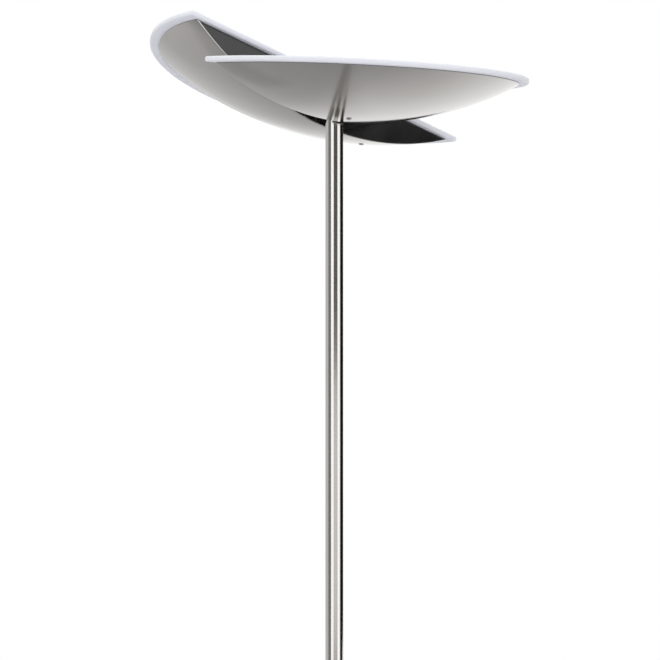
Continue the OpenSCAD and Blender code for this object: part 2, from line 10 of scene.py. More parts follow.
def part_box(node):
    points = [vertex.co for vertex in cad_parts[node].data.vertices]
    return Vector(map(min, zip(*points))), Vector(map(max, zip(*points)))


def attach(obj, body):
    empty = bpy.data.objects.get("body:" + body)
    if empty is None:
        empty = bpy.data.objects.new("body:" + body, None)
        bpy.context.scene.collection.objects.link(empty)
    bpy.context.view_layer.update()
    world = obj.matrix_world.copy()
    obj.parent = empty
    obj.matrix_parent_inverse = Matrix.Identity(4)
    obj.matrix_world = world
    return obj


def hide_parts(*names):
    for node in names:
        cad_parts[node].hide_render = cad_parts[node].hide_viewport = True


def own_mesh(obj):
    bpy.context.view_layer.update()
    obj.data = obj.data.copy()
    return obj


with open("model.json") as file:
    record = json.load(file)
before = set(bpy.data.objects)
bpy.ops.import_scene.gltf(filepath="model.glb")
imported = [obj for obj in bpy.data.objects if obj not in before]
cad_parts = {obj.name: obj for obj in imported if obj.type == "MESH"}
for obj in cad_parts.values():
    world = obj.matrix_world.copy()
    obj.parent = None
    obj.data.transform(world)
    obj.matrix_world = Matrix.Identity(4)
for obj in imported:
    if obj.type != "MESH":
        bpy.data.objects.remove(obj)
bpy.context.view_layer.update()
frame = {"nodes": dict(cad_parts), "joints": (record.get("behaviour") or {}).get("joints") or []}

nodes = frame["nodes"]
joints = {joint["name"]: joint for joint in frame["joints"]}
scene = bpy.context.scene
mm = 0.001

# Camera: a long lens a little below the head, looking slightly up
VIEW_TURN = -41.6462
VIEW_RISE = 1.3474
VIEW_FROM = (-3.2686, -3.6675, 1.3672)
LENS = 218.18
VIEW_END = 100

camera = bpy.data.objects.new("camera", bpy.data.cameras.new("camera"))
scene.collection.objects.link(camera)
scene.camera = camera
camera.location = VIEW_FROM
camera.rotation_euler = (math.radians(90 + VIEW_RISE), 0, math.radians(VIEW_TURN))
camera.data.lens = LENS
camera.data.clip_end = VIEW_END


# Places and sizes, read from the frame
def half_place(joint, turn):
    """From the frame of a half, tilt axis along Y and half on the +Y side, to its place at rest."""
    axis = Vector(joint["axis"])
    droop = math.atan2(axis.z, axis.y)
    tilt = math.radians(-sum(joint["range_deg"]) / 2)
    return (
        Matrix.Translation(joint["pos_m"])
        @ Matrix.Rotation(droop, 4, "X")
        @ Matrix.Rotation(tilt, 4, "Y")
        @ Matrix.Rotation(turn, 4, "Z")
    )


HALVES = {
    "front": half_place(joints["front_tilt_hinge"], math.pi),
    "rear": half_place(joints["rear_tilt_hinge"], 0),
}


def rear_box(node):
    """Lowest and highest corner of a CAD node of the rear half, in the frame of that half."""
    back = HALVES["rear"].inverted()
    points = [back @ vertex.co for vertex in nodes[node].data.vertices]
    spans = [(min(values), max(values)) for values in zip(*points)]
    return Vector([span[0] for span in spans]), Vector([span[1] for span in spans])


plate_low, plate_high = rear_box("rear_plate")
bowl_low, bowl_high = rear_box("rear_bowl")
wall_low, wall_high = rear_box("rear_wall")
seal_low, seal_high = rear_box("rear_seal")
PLATE_R = plate_high.x
ARC_Y = plate_low.y
RIM_R = bowl_high.y - ARC_Y
RIM_Z = bowl_high.z
CUT_Y = bowl_low.y
BOWL_DEPTH = RIM_Z - bowl_low.z
BALL_R = (RIM_R**2 + BOWL_DEPTH**2) / (2 * BOWL_DEPTH)
BALL_Z = RIM_Z - BOWL_DEPTH + BALL_R
SHEET = 1.5 * mm
BALL_STEPS = 360
BALL_RINGS = 288
CUT_ROLL = 1.2 * mm
SEAL_W = 1.8 * mm
PLATE_EDGE = 2 * mm
WELD = 0.001 * mm
RUN_FIT = 0.05 * mm
DRILL_L = 10 * mm


# Bench work: small steps that every piece is made with
def pick_up(piece):
    """Makes the piece the only one that is selected, and the active one."""
    bpy.ops.object.select_all(action="DESELECT")
    piece.select_set(True)
    bpy.context.view_layer.objects.active = piece


@contextmanager
def editing(piece):
    """Opens the piece in edit mode with everything selected."""
    pick_up(piece)
    bpy.ops.object.mode_set(mode="EDIT")
    bpy.ops.mesh.select_mode(type="VERT")
    bpy.ops.mesh.select_all(action="SELECT")
    yield
    bpy.ops.object.mode_set(mode="OBJECT")


def pick(piece, kind, wanted):
    """In edit mode, selects only the verts, edges or faces that wanted() accepts."""
    bpy.ops.mesh.select_mode(type=kind)
    bpy.ops.mesh.select_all(action="DESELECT")
    mesh = bmesh.from_edit_mesh(piece.data)
    for part in {"VERT": mesh.verts, "EDGE": mesh.edges, "FACE": mesh.faces}[kind]:
        if wanted(part):
            part.select_set(True)
    bmesh.update_edit_mesh(piece.data)


def start(name, primitive, **settings):
    """A primitive at its size and place, with its place in its mesh."""
    bpy.ops.object.select_all(action="DESELECT")
    primitive(**settings)
    piece = bpy.context.object
    piece.name = name
    bpy.ops.object.transform_apply()
    return piece


def slice_off(point, normal, fill):
    """In edit mode, cuts the mesh at a plane and drops the side that the normal points to."""
    bpy.ops.mesh.select_all(action="SELECT")
    bpy.ops.mesh.bisect(plane_co=point, plane_no=normal, use_fill=fill, clear_outer=True)


def close_up():
    """In edit mode, welds the seams and turns every face outwards."""
    bpy.ops.mesh.select_all(action="SELECT")
    bpy.ops.mesh.remove_doubles(threshold=WELD)
    bpy.ops.mesh.normals_make_consistent(inside=False)


def apply_new(piece, kind, **settings):
    """Gives the piece a modifier and applies it."""
    pick_up(piece)
    modifier = piece.modifiers.new(kind.lower(), kind)
    for key, value in settings.items():
        setattr(modifier, key, value)
    bpy.ops.object.modifier_apply(modifier=modifier.name)


def soften(piece, width, segments=3, corner=35):
    """Rounds every hard edge by the width and keeps the flats flat in the shading."""
    corner = math.radians(corner)
    if width:
        apply_new(
            piece, "BEVEL", width=width, segments=segments, limit_method="ANGLE", angle_limit=corner
        )
    pick_up(piece)
    bpy.ops.object.shade_smooth_by_angle(angle=corner)
    apply_new(piece, "WEIGHTED_NORMAL", keep_sharp=True)


def drill(piece, point, direction, radius, length, sides=48):
    """Bores a straight hole, its middle at the point."""
    turn = Vector(direction).to_track_quat("Z", "Y").to_euler()
    cutter = start(
        "drill", bpy.ops.mesh.primitive_cylinder_add,
        vertices=sides, radius=radius, depth=length, location=point, rotation=turn,
    )
    apply_new(piece, "BOOLEAN", operation="DIFFERENCE", solver="EXACT", object=cutter)
    bpy.data.objects.remove(cutter)


def turned(name, outline, steps=128):
    """A closed outline of (radius, height) points, drawn from point to point and spun round Z."""
    corners = [Vector((radius, 0, height)) for radius, height in outline]
    piece = start(name, bpy.ops.mesh.primitive_plane_add, size=SHEET, location=corners[0])
    with editing(piece):
        bpy.ops.mesh.merge(type="CENTER")
        for here, there in zip(corners, corners[1:] + corners[:1]):
            bpy.ops.mesh.extrude_region_move(TRANSFORM_OT_translate={"value": there - here})
        bpy.ops.mesh.select_all(action="SELECT")
        bpy.ops.mesh.remove_doubles(threshold=WELD)
        bpy.ops.mesh.spin(steps=steps, angle=math.tau, center=(0, 0, 0), axis=(0, 0, 1))
        close_up()
        bpy.ops.mesh.select_all(action="SELECT")
        bpy.ops.mesh.delete_loose()
    return piece


def dressed(name, node, edge):
    """A copy of a CAD node, its triangles welded into whole faces and its hard edges rounded."""
    piece = bpy.data.objects.new(name, nodes[node].data.copy())
    scene.collection.objects.link(piece)
    pick_up(piece)
    bpy.ops.mesh.customdata_custom_splitnormals_clear()
    with editing(piece):
        close_up()
        bpy.ops.mesh.dissolve_limited(angle_limit=math.radians(0.5))
    soften(piece, edge, segments=2)
    return piece


def twin(piece, name):
    """A second piece of the same shape with a mesh of its own."""
    pick_up(piece)
    bpy.ops.object.duplicate()
    bpy.context.object.name = name
    return bpy.context.object


def set_in(piece, place):
    """Moves a piece from the frame that it was made in to its place, and keeps that in its mesh."""
    pick_up(piece)
    piece.matrix_world = place
    bpy.ops.object.transform_apply()


def as_one(name, parts):
    """Joins separate solids, such as the screws of a set, into one piece."""
    pick_up(parts[0])
    for part in parts[1:]:
        part.select_set(True)
    bpy.ops.object.join()
    parts[0].name = name
    return parts[0]


def fit(piece, body, slot, *stands_for, look=None):
    """Gives the piece its finish and its body and puts it in the place of its CAD nodes."""
    if not piece.data.materials:
        piece.data.materials.append(FINISHES[look or slot])
    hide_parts(*stands_for)
    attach(piece, body)


def fit_dressed(rows):
    """Pieces of the stand made from their CAD nodes: name, node, finish and edge in mm."""
    for name, node, slot, edge in rows:
        fit(dressed(name, node, edge * mm), "stand", slot, node)


# Finishes: shared effects first
def effect(name, inputs, output):
    """An empty node group with its inputs, one output, and the object's own coordinates inside."""
    tree = bpy.data.node_groups.new(name, "ShaderNodeTree")
    for label, kind, value in inputs:
        socket = tree.interface.new_socket(name=label, in_out="INPUT", socket_type=kind)
        socket.default_value = value
    tree.interface.new_socket(name=output, in_out="OUTPUT", socket_type="NodeSocketFloat")
    given = tree.nodes.new("NodeGroupInput")
    result = tree.nodes.new("NodeGroupOutput")
    place = tree.nodes.new("ShaderNodeTexCoord")
    return tree, given, place.outputs["Object"], result.inputs[output]


def clouding():
    """Soft drift of a finish from place to place, 0 to 1."""
    tree, given, place, result = effect("clouding", [("Size", "NodeSocketFloat", 20.0)], "Mask")
    noise = tree.nodes.new("ShaderNodeTexNoise")
    noise.inputs["Detail"].default_value = 4
    spread = tree.nodes.new("ShaderNodeMapRange")
    spread.inputs["From Min"].default_value = 0.3
    spread.inputs["From Max"].default_value = 0.7
    tree.links.new(place, noise.inputs["Vector"])
    tree.links.new(given.outputs["Size"], noise.inputs["Scale"])
    tree.links.new(noise.outputs["Fac"], spread.inputs["Value"])
    tree.links.new(spread.outputs["Result"], result)
    return tree


def ground_lines():
    """Grinding lines or an even grain: noise with a number of grains per metre along each axis."""
    tree, given, place, result = effect(
        "ground_lines", [("Grains", "NodeSocketVector", (2000.0, 2000.0, 2000.0))], "Height"
    )
    stretch = tree.nodes.new("ShaderNodeVectorMath")
    stretch.operation = "MULTIPLY"
    noise = tree.nodes.new("ShaderNodeTexNoise")
    noise.inputs["Scale"].default_value = 1
    noise.inputs["Detail"].default_value = 3
    tree.links.new(place, stretch.inputs[0])
    tree.links.new(given.outputs["Grains"], stretch.inputs[1])
    tree.links.new(stretch.outputs["Vector"], noise.inputs["Vector"])
    tree.links.new(noise.outputs["Fac"], result)
    return tree


def spun_lines():
    """Fine rings round an upright axis through a centre, as a lathe leaves them."""
    wanted = [("Rings", "NodeSocketFloat", 1500.0), ("Centre", "NodeSocketVector", (0.0, 0.0, 0.0))]
    tree, given, place, result = effect("spun_lines", wanted, "Height")
    offset = tree.nodes.new("ShaderNodeVectorMath")
    offset.operation = "SUBTRACT"
    apart = tree.nodes.new("ShaderNodeSeparateXYZ")
    flat = tree.nodes.new("ShaderNodeCombineXYZ")
    radius = tree.nodes.new("ShaderNodeVectorMath")
    radius.operation = "LENGTH"
    profile = tree.nodes.new("ShaderNodeCombineXYZ")
    noise = tree.nodes.new("ShaderNodeTexNoise")
    noise.inputs["Detail"].default_value = 3
    tree.links.new(place, offset.inputs[0])
    tree.links.new(given.outputs["Centre"], offset.inputs[1])
    tree.links.new(offset.outputs["Vector"], apart.inputs[0])
    for axis in "XY":
        tree.links.new(apart.outputs[axis], flat.inputs[axis])
    tree.links.new(flat.outputs[0], radius.inputs[0])
    tree.links.new(radius.outputs["Value"], profile.inputs["X"])
    tree.links.new(apart.outputs["Z"], profile.inputs["Z"])
    tree.links.new(profile.outputs[0], noise.inputs["Vector"])
    tree.links.new(given.outputs["Rings"], noise.inputs["Scale"])
    tree.links.new(noise.outputs["Fac"], result)
    return tree


CLOUDING = clouding()
GROUND_LINES = ground_lines()
SPUN_LINES = spun_lines()


def tone(red, green, blue):
    """A colour as a screen shows it, 0 to 255, in the linear values that a shader takes."""
    levels = [level / 255 for level in (red, green, blue)]
    return [v / 12.92 if v <= 0.04045 else ((v + 0.055) / 1.055) ** 2.4 for v in levels] + [1]


def use(tree, group, **inputs):
    """Places an effect in a material with its own values."""
    node = tree.nodes.new("ShaderNodeGroup")
    node.node_tree = group
    for label, value in inputs.items():
        node.inputs[label].default_value = value
    return node.outputs[0]


def finish(name, colours, roughness, cloud, relief, depth, **plain):
    """A finish whose colour and roughness drift between two values, with a fine relief."""
    material = bpy.data.materials.new(name)
    material.use_nodes = True
    tree = material.node_tree
    shader = tree.nodes["Principled BSDF"]
    for label, value in plain.items():
        shader.inputs[label.replace("_", " ")].default_value = value
    mask = use(tree, CLOUDING, Size=cloud)
    colour = tree.nodes.new("ShaderNodeMix")
    colour.data_type = "RGBA"
    colour.inputs[6].default_value = tone(*colours[0])
    colour.inputs[7].default_value = tone(*colours[1])
    tree.links.new(mask, colour.inputs[0])
    tree.links.new(colour.outputs[2], shader.inputs["Base Color"])
    drift = tree.nodes.new("ShaderNodeMapRange")
    drift.inputs["To Min"].default_value = roughness[0]
    drift.inputs["To Max"].default_value = roughness[1]
    tree.links.new(mask, drift.inputs["Value"])
    tree.links.new(drift.outputs["Result"], shader.inputs["Roughness"])
    group, values = relief
    bump = tree.nodes.new("ShaderNodeBump")
    bump.inputs["Distance"].default_value = depth
    tree.links.new(use(tree, group, **values), bump.inputs["Height"])
    tree.links.new(bump.outputs["Normal"], shader.inputs["Normal"])
    return material


def grain(x, y=None, z=None):
    """An even grain, or one stretched along the axes with the smaller numbers."""
    return GROUND_LINES, {"Grains": (x, x if y is None else y, x if z is None else z)}


def rings(count, centre=(0, 0, 0)):
    """Lathe rings, a number of them per metre, round an upright axis."""
    return SPUN_LINES, {"Rings": count, "Centre": centre}


def middle(node):
    """Centre of a CAD node's box."""
    low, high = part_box(node)
    return (low + high) / 2


FINISHES = {
    "satin_nickel": finish(
        "satin_nickel", [(201, 198, 194), (207, 204, 201)], (0.1, 0.13), 14.0,
        grain(1800.0), 0.001 * mm, Metallic=1.0,
    ),
    "spun_nickel": finish(
        "spun_nickel", [(198, 196, 192), (205, 203, 199)], (0.2, 0.27), 16.0,
        rings(1400.0), 0.004 * mm, Metallic=1.0,
    ),
    "button_nickel": finish(
        "button_nickel", [(198, 196, 192), (205, 203, 199)], (0.2, 0.27), 30.0,
        rings(1400.0, middle("foot_button")), 0.004 * mm, Metallic=1.0,
    ),
    "pole_steel": finish(
        "pole_steel", [(205, 203, 199), (211, 209, 206)], (0.1, 0.14), 10.0,
        grain(2600.0, 2600.0, 12.0), 0.001 * mm, Metallic=1.0,
    ),
    "plain_steel": finish(
        "plain_steel", [(150, 151, 153), (168, 169, 170)], (0.28, 0.4), 60.0,
        grain(1500.0), 0.006 * mm, Metallic=1.0,
    ),
    "brass_thread": finish(
        "brass_thread", [(178, 160, 106), (196, 178, 122)], (0.25, 0.38), 80.0,
        grain(1200.0), 0.005 * mm, Metallic=1.0,
    ),
    "wall_black": finish(
        "wall_black", [(20, 20, 22), (25, 25, 27)], (0.15, 0.2), 25.0,
        grain(900.0), 0.001 * mm, Specular_IOR_Level=0.85,
    ),
    "opal_acrylic": finish(
        "opal_acrylic", [(229, 230, 239), (233, 234, 243)], (0.42, 0.5), 18.0,
        grain(700.0), 0.001 * mm, IOR=1.49, Specular_IOR_Level=0.3,
        Subsurface_Weight=0.7, Subsurface_Scale=8 * mm, Subsurface_Radius=(1, 1, 1),
    ),
    # Grey rubber for the seal and the cord bush; on the rim seal this grey is partly painted shade,
    # the shadow line under the plate
    "seal_rubber": finish(
        "seal_rubber", [(136, 136, 139), (146, 146, 149)], (0.6, 0.75), 90.0,
        grain(1500.0), 0.02 * mm,
    ),
    "pad_rubber": finish(
        "pad_rubber", [(34, 34, 36), (44, 44, 46)], (0.7, 0.85), 60.0,
        grain(700.0), 0.08 * mm,
    ),
    "weight_iron": finish(
        "weight_iron", [(62, 62, 64), (84, 83, 82)], (0.55, 0.75), 45.0,
        grain(450.0), 0.15 * mm, Metallic=0.6,
    ),
    "tray_aluminium": finish(
        "tray_aluminium", [(196, 198, 200), (208, 210, 212)], (0.3, 0.4), 30.0,
        grain(1600.0, 40.0, 1600.0), 0.004 * mm, Metallic=1.0,
    ),
    "white_plastic": finish(
        "white_plastic", [(226, 226, 224), (234, 234, 232)], (0.4, 0.5), 70.0,
        grain(900.0), 0.01 * mm,
    ),
    "washer_plastic": finish(
        "washer_plastic", [(222, 220, 208), (232, 230, 220)], (0.4, 0.5), 90.0,
        grain(900.0), 0.01 * mm,
    ),
    "led_yellow": finish(
        "led_yellow", [(226, 196, 84), (240, 214, 110)], (0.35, 0.5), 200.0,
        grain(4000.0), 0.01 * mm,
    ),
    "board_green": finish(
        "board_green", [(30, 82, 54), (40, 98, 64)], (0.3, 0.42), 90.0,
        grain(1500.0), 0.01 * mm,
    ),
    "switch_black": finish(
        "switch_black", [(30, 30, 32), (38, 38, 40)], (0.4, 0.5), 90.0,
        grain(1200.0), 0.01 * mm,
    ),
}


# Screws: shank radius, head radius, head height
BOWL_SCREW = (2 * mm, 4 * mm, 1.7 * mm)
SMALL_SCREW = (1.5 * mm, 2.8 * mm, 1.5 * mm)
BOWL_SCREW_L = SHEET + 4 * mm
WALL_SCREW_L = 6.5 * mm
# Where they sit in the frame of a half: x and y under the bowl, x and z on the wall
BOWL_SCREWS = {
    "front": [(26 * mm, 58 * mm)],
    "rear": [(30 * mm, 33 * mm), (112 * mm, 66 * mm)],
}
WALL_SCREWS = [(x * mm, z * mm) for x in (-24, 24) for z in (-9, 5)]
AXLE_HOLE_R = 5.3 * mm


# Head: sheets and plates, made once in the frame of a half
def bowl_sheet():
    """Half of a shallow bowl: the cap of a ball, trimmed at rim and cut, its cut edge rolled.

    The ball lies with its poles along Y, so that its rings run along the cut and the roll is even.
    """
    spare = 4 * mm
    centre = Vector((0, ARC_Y, BALL_Z))

    def outer_cut(edge):
        ends = [vertex.co for vertex in edge.verts]
        at_cut = all(abs(p.y - CUT_Y) < WELD for p in ends)
        return at_cut and all((p - centre).length > BALL_R - SHEET / 2 for p in ends)

    piece = start(
        "bowl_sheet", bpy.ops.mesh.primitive_uv_sphere_add,
        segments=BALL_STEPS, ring_count=BALL_RINGS, radius=BALL_R,
        location=centre, rotation=(math.pi / 2, 0, 0),
    )
    with editing(piece):
        slice_off((0, 0, RIM_Z + spare), (0, 0, 1), False)
        slice_off((0, CUT_Y - spare, 0), (0, -1, 0), False)
    apply_new(piece, "SOLIDIFY", thickness=SHEET, offset=-1, use_even_offset=True)
    with editing(piece):
        slice_off((0, 0, RIM_Z), (0, 0, 1), True)
        slice_off((0, CUT_Y, 0), (0, -1, 0), True)
        close_up()
        pick(piece, "EDGE", outer_cut)
        bpy.ops.mesh.bevel(offset=CUT_ROLL, segments=5, affect="EDGES")
    return piece


def bowl_spot(x, y):
    """Place on the outside of a bowl, with Z pointing inwards."""
    lean = math.asin(math.hypot(x, y - ARC_Y) / BALL_R)
    return (
        Matrix.Translation((0, ARC_Y, BALL_Z))
        @ Matrix.Rotation(math.atan2(y - ARC_Y, x), 4, "Z")
        @ Matrix.Rotation(-lean, 4, "Y")
        @ Matrix.Translation((0, 0, -BALL_R))
    )


def opal_plate():
    """Half disc with a rounded arched edge and lightly broken straight edges."""
    thick = plate_high.z - plate_low.z
    piece = start(
        "opal_plate", bpy.ops.mesh.primitive_cylinder_add,
        vertices=360, radius=PLATE_R, depth=thick, location=(0, ARC_Y, plate_low.z + thick / 2),
    )
    near = 0.01 * mm

    def arched(edge):
        ends = [vertex.co for vertex in edge.verts]
        level = abs(ends[0].z - ends[1].z) < near
        return level and all(math.hypot(p.x, p.y - ARC_Y) > PLATE_R - near for p in ends)

    with editing(piece):
        slice_off((0, ARC_Y, 0), (0, -1, 0), True)
        close_up()
        pick(piece, "EDGE", arched)
        bpy.ops.mesh.bevel(offset=PLATE_EDGE, segments=6, affect="EDGES")
    soften(piece, 0.5 * mm)
    return piece


def end_wall():
    """Flat sheet with a curved lower edge that closes the cut side, bored for axle and screws."""
    mid_y = (wall_low.y + wall_high.y) / 2
    piece = start(
        "end_wall", bpy.ops.mesh.primitive_cylinder_add,
        vertices=720, radius=BALL_Z - wall_low.z, depth=wall_high.y - wall_low.y,
        location=(0, mid_y, BALL_Z), rotation=(math.pi / 2, 0, 0),
    )
    with editing(piece):
        slice_off((0, 0, RIM_Z), (0, 0, 1), True)
        close_up()
    drill(piece, (0, mid_y, 0), (0, 1, 0), AXLE_HOLE_R, DRILL_L)
    for x, z in WALL_SCREWS:
        drill(piece, (x, mid_y, z), (0, 1, 0), SMALL_SCREW[0], DRILL_L, sides=24)
    soften(piece, 0.25 * mm)
    return piece


def rim_seal():
    """Thin rubber strip that runs round under the plate, along rim and wall; its grey is partly
    painted shade, standing in for the shadow line under the plate.
    """
    outer = seal_high.y - ARC_Y
    piece = start(
        "rim_seal", bpy.ops.mesh.primitive_circle_add,
        vertices=288, radius=outer, fill_type="NGON", location=(0, ARC_Y, seal_low.z),
    )
    with editing(piece):
        slice_off((0, seal_low.y, 0), (0, -1, 0), False)
        bpy.ops.mesh.select_all(action="SELECT")
        bpy.ops.mesh.inset(thickness=SEAL_W)
        bpy.ops.mesh.delete(type="FACE")
        bpy.ops.mesh.select_all(action="SELECT")
        bpy.ops.mesh.extrude_region_move(
            TRANSFORM_OT_translate={"value": (0, 0, seal_high.z - seal_low.z)}
        )
        close_up()
    soften(piece, 0.15 * mm)
    return piece


def socket_screw(name, shank_r, head_r, head_h, length):
    """Button-head screw with a hexagon socket, head below z = 0 and shank above."""
    dome_r = (head_r**2 + head_h**2) / (2 * head_h)
    piece = start(
        name, bpy.ops.mesh.primitive_uv_sphere_add,
        segments=40, ring_count=40, radius=dome_r, location=(0, 0, dome_r - head_h),
    )

    def seat(face):
        return face.normal.z > 0.9 and face.calc_center_median().z > -WELD

    with editing(piece):
        slice_off((0, 0, 0), (0, 0, 1), True)
        pick(piece, "FACE", seat)
        bpy.ops.mesh.inset(thickness=head_r - shank_r)
        bpy.ops.mesh.extrude_region_move(TRANSFORM_OT_translate={"value": (0, 0, length)})
        close_up()
    socket_r = 0.42 * head_r
    socket_l = 1.1 * head_h
    drill(piece, (0, 0, -head_h), (0, 0, 1), socket_r, socket_l, sides=6)
    soften(piece, 0.12 * mm, segments=2)
    return piece


def screw_set(name, screw, places):
    """Copies of one screw at their places, as one piece."""
    copies = [twin(screw, "screw_copy") for place in places]
    for copy, place in zip(copies, places):
        set_in(copy, place)
    return as_one(name, copies)


def head():
    """Both halves: bowl, plate, wall, seal and the screws that show."""
    bowl = bowl_sheet()
    plate = opal_plate()
    wall = end_wall()
    seal = rim_seal()
    bowl_screw = socket_screw("bowl_screw", *BOWL_SCREW, length=BOWL_SCREW_L)
    wall_screw = socket_screw("wall_screw", *SMALL_SCREW, length=WALL_SCREW_L)
    into_wall = Matrix.Rotation(-math.pi / 2, 4, "X")
    for half, place in HALVES.items():
        body = f"{half}_head"
        shell = twin(bowl, f"{half}_bowl_shell")
        spots = [bowl_spot(x, y) for x, y in BOWL_SCREWS[half]]
        for seat in spots:
            inwards = seat.to_3x3().col[2]
            drill(shell, seat.translation, inwards, BOWL_SCREW[0], DRILL_L, sides=32)
        soften(shell, 0.25 * mm)
        bottom_screws = screw_set(f"{half}_bottom_screws", bowl_screw, spots)
        wall_spots = [Matrix.Translation((x, wall_low.y, z)) @ into_wall for x, z in WALL_SCREWS]
        side_screws = screw_set(f"{half}_side_screws", wall_screw, wall_spots)
        made = [
            (shell, "satin_nickel", "bowl"),
            (twin(plate, f"{half}_opal_plate"), "opal_acrylic", "plate"),
            (twin(wall, f"{half}_end_wall"), "wall_black", "wall"),
            # The seal's grey is partly painted shade: the shadow line under the plate
            (twin(seal, f"{half}_rim_seal"), "seal_rubber", "seal"),
            (bottom_screws, "satin_nickel", "bowl_screws"),
            (side_screws, "wall_black", "wall_screws"),
        ]
        for piece, slot, node in made:
            set_in(piece, place)
            fit(piece, body, slot, f"{half}_{node}")
    for pattern in (bowl, plate, wall, seal, bowl_screw, wall_screw):
        bpy.data.objects.remove(pattern)


def light_tray():
    """What each half holds inside: hub bracket, tray, board, emitters, posts, terminal, lead."""
    for half, place in HALVES.items():
        body = f"{half}_head"
        up = place.to_3x3().col[2]
        inside = [
            ("hub_bracket", "hub", "tray_aluminium", 0.4),
            ("lamp_tray", "tray", "tray_aluminium", 0.2),
            ("lamp_board", "board", "white_plastic", 0.15),
            ("emitters", "leds", "white_plastic", 0.1),
            ("plate_posts", "posts", "white_plastic", 0.3),
            ("terminal_box", "terminal", "white_plastic", 0.4),
            ("small_screws", "tray_screws", "plain_steel", 0.1),
        ]
        for name, node, slot, edge in inside:
            piece = dressed(f"{half}_{name}", f"{half}_{node}", edge * mm)
            if name == "emitters":
                light_faces(piece, up)
            if name == "terminal_box":
                wire_holes(piece, place)
            fit(piece, body, slot, f"{half}_{node}")
        paint_node(f"{half}_lead", "white_plastic")


def light_faces(piece, up):
    """Sinks a yellow window into the top of each light emitter."""
    least = 10 * mm * mm
    piece.data.materials.append(FINISHES["white_plastic"])
    piece.data.materials.append(FINISHES["led_yellow"])
    with editing(piece):
        pick(piece, "FACE", lambda face: face.normal.dot(up) > 0.999 and face.calc_area() > least)
        bpy.ops.mesh.inset(thickness=0.6 * mm, depth=-0.15 * mm, use_individual=True)
        piece.active_material_index = 1
        bpy.ops.object.material_slot_assign()


def wire_holes(piece, place):
    """Sinks a wire entry into each end of the terminal."""
    side = place.to_3x3().col[0]
    with editing(piece):
        pick(piece, "FACE", lambda face: abs(face.normal.dot(side)) > 0.999)
        bpy.ops.mesh.inset(thickness=1.2 * mm, use_individual=True)
        bpy.ops.mesh.inset(thickness=0.2 * mm, depth=-2 * mm, use_individual=True)


def paint_node(node, slot):
    """A CAD node whose shape is right stays and gets its finish."""
    mesh = nodes[node].data
    if not mesh.materials:
        mesh.materials.append(None)
    for slot_of_node in nodes[node].material_slots:
        slot_of_node.material = FINISHES[slot]


def hinge():
    """Hinge block, axles and the friction stack on them."""
    fit_dressed([
        ("hinge_tee", "hinge_block", "satin_nickel", 0.3),
        ("front_hollow_axle", "front_axle", "brass_thread", 0.3),
        ("rear_hollow_axle", "rear_axle", "brass_thread", 0.3),
        ("front_friction_washers", "front_washers", "washer_plastic", 0.2),
        ("rear_friction_washers", "rear_washers", "washer_plastic", 0.2),
        ("front_stop_finger", "front_stop_arm", "plain_steel", 0.25),
        ("rear_stop_finger", "rear_stop_arm", "plain_steel", 0.25),
        ("cupped_washers", "spring_washers", "plain_steel", 0.2),
        ("hex_nuts", "axle_nuts", "brass_thread", 0.5),
        ("grub_screw", "block_screw", "plain_steel", 0.2),
    ])
    paint_node("pole_cable", "white_plastic")


def tube(name, node):
    """One length of the pole, its ends lightly chamfered."""
    low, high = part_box(node)
    outline = [(high.x - SHEET, low.z), (high.x, low.z), (high.x, high.z), (high.x - SHEET, high.z)]
    piece = turned(name, outline)
    soften(piece, 0.3 * mm, segments=2)
    return piece


def foot_collar():
    """Collar round the foot of the pole, its upper edge sloped."""
    low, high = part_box("pole_collar")
    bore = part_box("lower_pole")[1].x + RUN_FIT
    lip = (high.x + bore) / 2
    shoulder = low.z + 0.7 * (high.z - low.z)
    outline = [(bore, low.z), (high.x, low.z), (high.x, shoulder), (lip, high.z), (bore, high.z)]
    collar = turned("foot_collar", outline)
    soften(collar, 0.5 * mm)
    fit(collar, "stand", "satin_nickel", "pole_collar", look="spun_nickel")


def pole():
    """Two lengths of tube, the collar, the sleeve in their joint and the plug in the foot."""
    fit(tube("upper_tube", "upper_pole"), "stand", "pole_steel", "upper_pole")
    fit(tube("lower_tube", "lower_pole"), "stand", "pole_steel", "lower_pole")
    foot_collar()
    fit_dressed([
        ("joint_sleeve", "pole_coupler", "plain_steel", 0.3),
        ("foot_plug", "pole_plug", "plain_steel", 0.3),
    ])


# Base: sizes that the frame doesn't give
COVER_SHEET = 1.2 * mm
COVER_EDGE = 5 * mm
BOLT_HOLE_R = 4.3 * mm
CABLE_HOLE_R = 1.95 * mm
CABLE_Y = 6.6 * mm
BUTTON_R = 12.4 * mm
BUTTON_HOLE_R = BUTTON_R + 1.15 * mm
BUSH_R = 5.6 * mm


